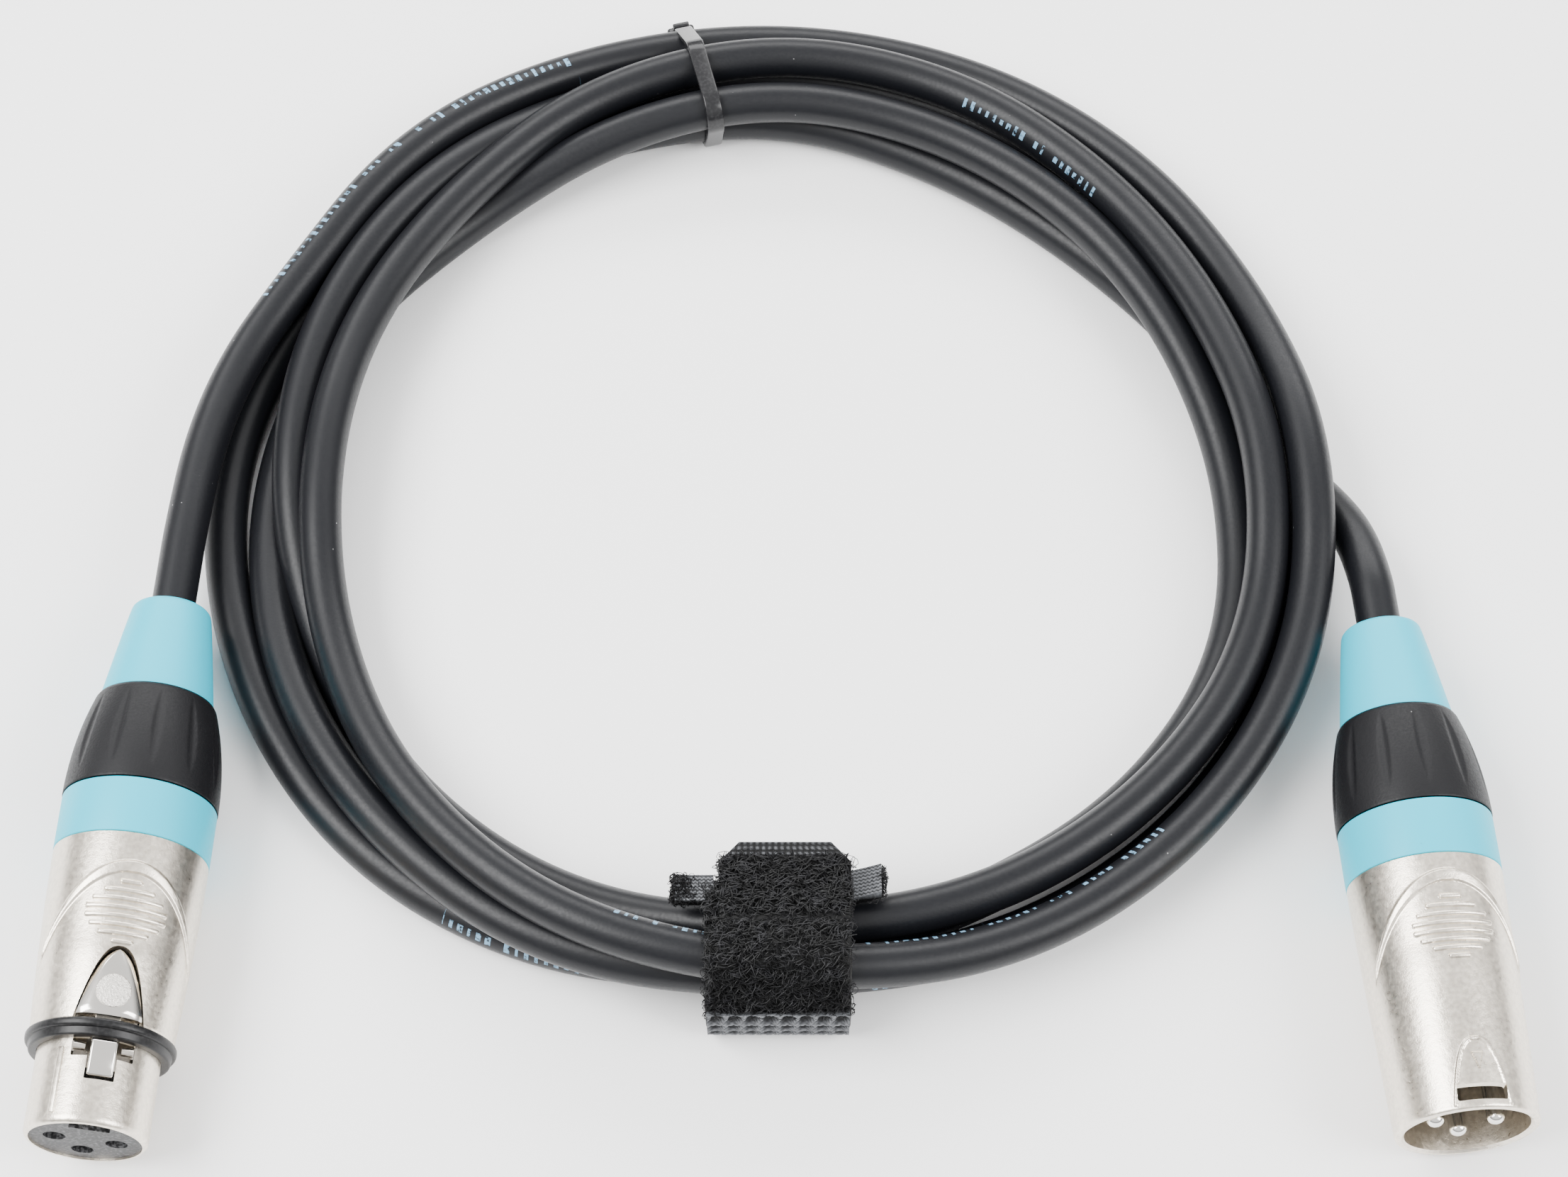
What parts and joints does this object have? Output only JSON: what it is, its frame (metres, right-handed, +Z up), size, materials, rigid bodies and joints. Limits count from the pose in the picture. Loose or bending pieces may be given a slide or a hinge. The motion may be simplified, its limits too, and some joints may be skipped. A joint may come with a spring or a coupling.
{
  "type": "xlr microphone cable coil",
  "caption": "Coiled microphone cable with a latching socket and a pin plug side by side, held by a zip tie and a hook-and-loop wrap.",
  "frame": {"origin": "middle of the footprint's box, on the surface the coil lies on", "axes": "+X to the plug's side, +Y away from the connectors, +Z up"},
  "size_m": [0.1943, 0.1825, 0.0211],
  "materials": {
    "cable_jacket": "satin, finely grained PVC",
    "boot_rubber": "matte moulded rubber",
    "ring_plastic": "satin moulded plastic",
    "collar_plastic": "satin moulded plastic",
    "shell_nickel": "satin nickel with a pebbled cast surface",
    "latch_nickel": "polished nickel",
    "seal_rubber": "matte",
    "insert_plastic": "matte moulded plastic",
    "contact_silver": "silver plate",
    "spring_steel": "plain spring steel",
    "chuck_plastic": "moulded plastic",
    "bare_copper": "twisted bare copper",
    "red_insulation": "smooth",
    "white_insulation": "smooth",
    "tie_nylon": "glossy nylon",
    "wrap_fabric": "curly loop pile on a knitted base"
  },
  "bodies": {
    "root": {"cable_coil": "cable_jacket", "cable_lead_plug": "cable_jacket", "cable_lead_socket": "cable_jacket", "plug_chuck": "chuck_plastic", "plug_colour_ring": "ring_plastic", "plug_insert": "insert_plastic", "plug_jacket_end": "cable_jacket", "plug_pin_1": "contact_silver", "plug_pin_2": "contact_silver", "plug_pin_3": "contact_silver", "plug_shell": "shell_nickel", "plug_wire_red": "red_insulation", "plug_wire_screen": "bare_copper", "plug_wire_white": "white_insulation", "socket_chuck": "chuck_plastic", "socket_colour_ring": "ring_plastic", "socket_contact_1": "contact_silver", "socket_contact_2": "contact_silver", "socket_contact_3": "contact_silver", "socket_insert": "insert_plastic", "socket_jacket_end": "cable_jacket", "socket_latch_spring": "spring_steel", "socket_seal_ring": "seal_rubber", "socket_shell": "shell_nickel", "socket_wire_red": "red_insulation", "socket_wire_screen": "bare_copper", "socket_wire_white": "white_insulation", "wrap_band": "wrap_fabric", "wrap_head": "wrap_fabric", "zip_tie": "tie_nylon"},
    "socket_latch_body": {"socket_latch": "latch_nickel"},
    "socket_boot_body": {"socket_boot": "boot_rubber"},
    "socket_collar_body": {"socket_collar": "collar_plastic"},
    "plug_boot_body": {"plug_boot": "boot_rubber"},
    "plug_collar_body": {"plug_collar": "collar_plastic"},
    "wrap_tail_body": {"wrap_tail": "wrap_fabric"}
  },
  "joints": [
    {"name": "socket_latch_press", "type": "hinge", "parent": "root", "child": "socket_latch_body", "pos_m": [-0.08441, -0.06654, 0.01853], "axis": [0.9595, -0.0587, -0.2756], "range_deg": [0, 4], "stiffness_Nm_per_rad": 0.6, "springref_deg": -2.86},
    {"name": "socket_boot_slide", "type": "slide", "parent": "root", "child": "socket_boot_body", "axis": [0.061, 0.9981, 0], "range_m": [0, 0.005]},
    {"name": "socket_collar_turn", "type": "hinge", "parent": "socket_boot_body", "child": "socket_collar_body", "pos_m": [-0.08355, -0.015, 0.01055], "axis": [0.061, 0.9981, 0], "range_deg": [0, 1440]},
    {"name": "plug_boot_slide", "type": "slide", "parent": "root", "child": "plug_boot_body", "axis": [-0.0732, 0.9973, 0], "range_m": [0, 0.005]},
    {"name": "plug_collar_turn", "type": "hinge", "parent": "plug_boot_body", "child": "plug_collar_body", "pos_m": [0.0826, -0.018, 0.0104], "axis": [-0.0732, 0.9973, 0], "range_deg": [0, 1440]},
    {"name": "wrap_tail_lift", "type": "hinge", "parent": "root", "child": "wrap_tail_body", "pos_m": [-0.00005, -0.0592, 0.0169], "axis": [1, 0, 0], "range_deg": [0, 55]}
  ],
  "couplings": [
    {"joint": "socket_collar_turn", "follows": "socket_boot_slide", "rad_per_m": 5026.5},
    {"joint": "plug_collar_turn", "follows": "plug_boot_slide", "rad_per_m": 5026.5}
  ]
}
